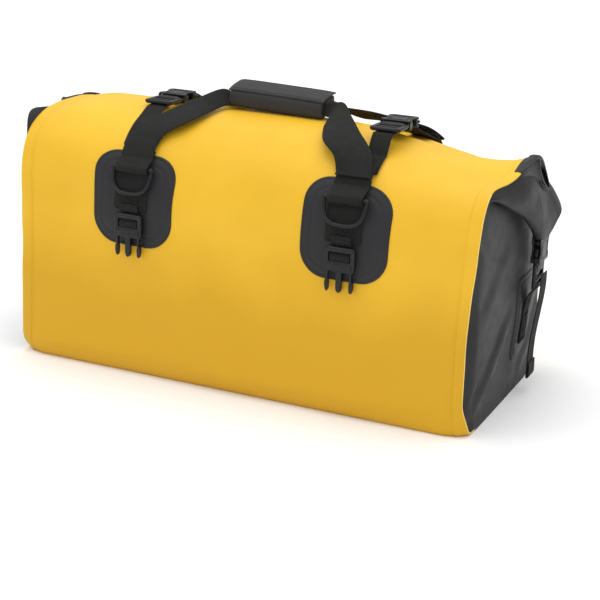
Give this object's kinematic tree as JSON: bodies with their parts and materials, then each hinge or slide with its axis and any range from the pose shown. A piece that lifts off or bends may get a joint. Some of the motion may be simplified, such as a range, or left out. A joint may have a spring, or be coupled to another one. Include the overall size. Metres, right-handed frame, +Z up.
{
  "type": "duffel bag",
  "caption": "Roll-top waterproof duffel bag with welded tarpaulin panels, webbing handles joined in a padded grip, lash rings, accessory plugs, and buckled top and end straps.",
  "frame": {"origin": "under the middle of the base, on the surface that the bag stands on", "axes": "+X along the bag, -Y out of the front panel, +Z up"},
  "size_m": [0.6596, 0.3162, 0.355],
  "materials": {
    "yellow_tarpaulin": "satin coated tarpaulin",
    "grey_tarpaulin": "satin coated tarpaulin",
    "grey_patch": "matt coated tarpaulin",
    "black_webbing": "ribbed woven webbing",
    "black_plastic": "moulded, fine texture",
    "grip_fabric": "coated fabric over foam",
    "base_board": "matt"
  },
  "bodies": {
    "root": {"base_panel": "yellow_tarpaulin", "front_panel": "yellow_tarpaulin", "rear_panel": "yellow_tarpaulin", "end_panel_left": "grey_tarpaulin", "end_panel_right": "grey_tarpaulin", "base_board": "base_board", "patch_front_left": "grey_patch", "patch_front_right": "grey_patch", "patch_rear_left": "grey_patch", "patch_rear_right": "grey_patch", "anchor_webbing_front_left": "black_webbing", "anchor_webbing_front_right": "black_webbing", "anchor_webbing_rear_left": "black_webbing", "anchor_webbing_rear_right": "black_webbing", "accessory_loop_front_left": "black_webbing", "accessory_loop_front_right": "black_webbing", "accessory_loop_rear_left": "black_webbing", "accessory_loop_rear_right": "black_webbing", "end_patch_left": "grey_patch", "end_strap_lower_left": "black_webbing", "end_socket_left": "black_plastic", "end_patch_right": "grey_patch", "end_strap_lower_right": "black_webbing", "end_socket_right": "black_plastic"},
    "front_flap": {"front_roof": "yellow_tarpaulin", "top_strap_front_left": "black_webbing", "top_strap_front_right": "black_webbing"},
    "rear_flap": {"rear_roof": "yellow_tarpaulin", "closure_roll": "yellow_tarpaulin", "mouth_stiffener": "black_plastic", "roll_end_left": "grey_tarpaulin", "roll_end_right": "grey_tarpaulin", "top_strap_rear_left": "black_webbing", "top_strap_rear_right": "black_webbing", "top_socket_left": "black_plastic", "top_socket_right": "black_plastic", "end_strap_upper_left": "black_webbing", "end_strap_upper_right": "black_webbing"},
    "front_handle": {"handle_webbing_front": "black_webbing", "grip_front": "grip_fabric"},
    "rear_handle": {"handle_webbing_rear": "black_webbing", "grip_rear": "grip_fabric"},
    "grip_flap": {"grip_flap": "grip_fabric"},
    "d_ring_front_left": {"d_ring_front_left": "black_plastic"},
    "accessory_plug_front_left": {"accessory_plug_front_left": "black_plastic"},
    "d_ring_front_right": {"d_ring_front_right": "black_plastic"},
    "accessory_plug_front_right": {"accessory_plug_front_right": "black_plastic"},
    "d_ring_rear_left": {"d_ring_rear_left": "black_plastic"},
    "accessory_plug_rear_left": {"accessory_plug_rear_left": "black_plastic"},
    "d_ring_rear_right": {"d_ring_rear_right": "black_plastic"},
    "accessory_plug_rear_right": {"accessory_plug_rear_right": "black_plastic"},
    "top_plug_left": {"top_plug_left": "black_plastic"},
    "end_plug_left": {"end_plug_left": "black_plastic"},
    "end_tail_left": {"end_tail_left": "black_webbing"},
    "top_plug_right": {"top_plug_right": "black_plastic"},
    "end_plug_right": {"end_plug_right": "black_plastic"},
    "end_tail_right": {"end_tail_right": "black_webbing"}
  },
  "joints": [
    {"name": "closure_open", "type": "hinge", "parent": "root", "child": "rear_flap", "pos_m": [0, 0.1205, 0.281], "axis": [1, 0, 0], "range_deg": [-55, 0]},
    {"name": "front_flap_open", "type": "hinge", "parent": "root", "child": "front_flap", "pos_m": [0, -0.1205, 0.281], "axis": [1, 0, 0], "range_deg": [0, 55]},
    {"name": "front_handle_drop", "type": "hinge", "parent": "front_flap", "child": "front_handle", "pos_m": [0, -0.123, 0.2867], "axis": [1, 0, 0], "range_deg": [0, 160]},
    {"name": "rear_handle_drop", "type": "hinge", "parent": "rear_flap", "child": "rear_handle", "pos_m": [0, 0.123, 0.2867], "axis": [-1, 0, 0], "range_deg": [0, 160]},
    {"name": "grip_flap_open", "type": "hinge", "parent": "rear_handle", "child": "grip_flap", "pos_m": [0, 0.0098, 0.3505], "axis": [-1, 0, 0], "range_deg": [0, 110]},
    {"name": "d_ring_front_left_swing", "type": "hinge", "parent": "root", "child": "d_ring_front_left", "pos_m": [-0.14, -0.14286, 0.26026], "axis": [1, 0, 0], "range_deg": [-130, 0]},
    {"name": "accessory_plug_front_left_swing", "type": "hinge", "parent": "root", "child": "accessory_plug_front_left", "pos_m": [-0.14, -0.15319, 0.20306], "axis": [1, 0, 0], "range_deg": [-100, 0]},
    {"name": "d_ring_front_right_swing", "type": "hinge", "parent": "root", "child": "d_ring_front_right", "pos_m": [0.14, -0.14286, 0.26026], "axis": [1, 0, 0], "range_deg": [-130, 0]},
    {"name": "accessory_plug_front_right_swing", "type": "hinge", "parent": "root", "child": "accessory_plug_front_right", "pos_m": [0.14, -0.15319, 0.20306], "axis": [1, 0, 0], "range_deg": [-100, 0]},
    {"name": "d_ring_rear_left_swing", "type": "hinge", "parent": "root", "child": "d_ring_rear_left", "pos_m": [-0.14, 0.14286, 0.26026], "axis": [-1, 0, 0], "range_deg": [-130, 0]},
    {"name": "accessory_plug_rear_left_swing", "type": "hinge", "parent": "root", "child": "accessory_plug_rear_left", "pos_m": [-0.14, 0.15319, 0.20306], "axis": [-1, 0, 0], "range_deg": [-100, 0]},
    {"name": "d_ring_rear_right_swing", "type": "hinge", "parent": "root", "child": "d_ring_rear_right", "pos_m": [0.14, 0.14286, 0.26026], "axis": [-1, 0, 0], "range_deg": [-130, 0]},
    {"name": "accessory_plug_rear_right_swing", "type": "hinge", "parent": "root", "child": "accessory_plug_rear_right", "pos_m": [0.14, 0.15319, 0.20306], "axis": [-1, 0, 0], "range_deg": [-100, 0]},
    {"name": "top_plug_left_release", "type": "slide", "parent": "rear_flap", "child": "top_plug_left", "axis": [0, -1, 0], "range_m": [0, 0.025]},
    {"name": "end_plug_left_release", "type": "slide", "parent": "root", "child": "end_plug_left", "axis": [0, 0, -1], "range_m": [0, 0.022]},
    {"name": "end_tail_left_swing", "type": "hinge", "parent": "end_plug_left", "child": "end_tail_left", "pos_m": [-0.3274, 0.042, 0.1535], "axis": [0, -1, 0], "range_deg": [-80, 0]},
    {"name": "top_plug_right_release", "type": "slide", "parent": "rear_flap", "child": "top_plug_right", "axis": [0, -1, 0], "range_m": [0, 0.025]},
    {"name": "end_plug_right_release", "type": "slide", "parent": "root", "child": "end_plug_right", "axis": [0, 0, -1], "range_m": [0, 0.022]},
    {"name": "end_tail_right_swing", "type": "hinge", "parent": "end_plug_right", "child": "end_tail_right", "pos_m": [0.3274, 0.042, 0.1535], "axis": [0, 1, 0], "range_deg": [-80, 0]}
  ],
  "couplings": [
    {"joint": "front_flap_open", "follows": "closure_open", "ratio": -1}
  ]
}
